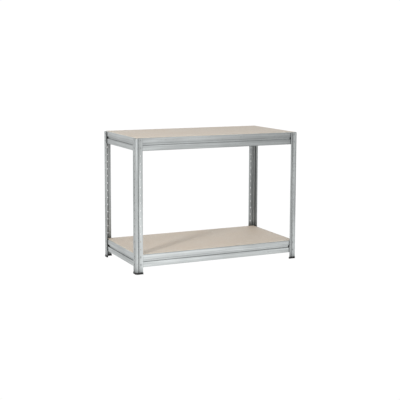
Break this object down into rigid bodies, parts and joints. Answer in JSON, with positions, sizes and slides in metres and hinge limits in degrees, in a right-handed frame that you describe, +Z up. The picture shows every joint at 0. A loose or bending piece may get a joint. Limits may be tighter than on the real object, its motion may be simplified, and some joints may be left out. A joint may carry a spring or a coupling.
{
  "type": "potting bench",
  "caption": "Boltless galvanised steel bench with perforated angle posts, hook-in beams, a chipboard worktop and a chipboard low shelf.",
  "frame": {"origin": "centre of the footprint, on the floor", "axes": "+X along the length, +Y to the back, +Z up"},
  "size_m": [1.205, 0.617, 0.8923],
  "materials": {
    "galvanised_steel": "zinc-coated sheet, faint spangle, satin",
    "stud_steel": "zinc-plated, satin",
    "chipboard": "raw sanded chipboard, matt",
    "black_plastic": "moulded, matt"
  },
  "bodies": {
    "root": {"front_left_post": "galvanised_steel", "front_left_foot": "black_plastic", "shelf_front_beam": "galvanised_steel", "shelf_front_stud_a1": "stud_steel", "shelf_front_stud_a2": "stud_steel", "shelf_front_stud_b1": "stud_steel", "shelf_front_stud_b2": "stud_steel", "top_front_beam": "galvanised_steel", "top_front_stud_a1": "stud_steel", "top_front_stud_a2": "stud_steel", "top_front_stud_b1": "stud_steel", "top_front_stud_b2": "stud_steel", "front_right_post": "galvanised_steel", "front_right_foot": "black_plastic", "shelf_right_beam": "galvanised_steel", "shelf_right_stud_a1": "stud_steel", "shelf_right_stud_a2": "stud_steel", "shelf_right_stud_b1": "stud_steel", "shelf_right_stud_b2": "stud_steel", "top_right_beam": "galvanised_steel", "top_right_stud_a1": "stud_steel", "top_right_stud_a2": "stud_steel", "top_right_stud_b1": "stud_steel", "top_right_stud_b2": "stud_steel", "back_right_post": "galvanised_steel", "back_right_foot": "black_plastic", "shelf_back_beam": "galvanised_steel", "shelf_back_stud_a1": "stud_steel", "shelf_back_stud_a2": "stud_steel", "shelf_back_stud_b1": "stud_steel", "shelf_back_stud_b2": "stud_steel", "top_back_beam": "galvanised_steel", "top_back_stud_a1": "stud_steel", "top_back_stud_a2": "stud_steel", "top_back_stud_b1": "stud_steel", "top_back_stud_b2": "stud_steel", "back_left_post": "galvanised_steel", "back_left_foot": "black_plastic", "shelf_left_beam": "galvanised_steel", "shelf_left_stud_a1": "stud_steel", "shelf_left_stud_a2": "stud_steel", "shelf_left_stud_b1": "stud_steel", "shelf_left_stud_b2": "stud_steel", "top_left_beam": "galvanised_steel", "top_left_stud_a1": "stud_steel", "top_left_stud_a2": "stud_steel", "top_left_stud_b1": "stud_steel", "top_left_stud_b2": "stud_steel", "shelf_board": "chipboard", "top_board": "chipboard"}
  },
  "joints": []
}
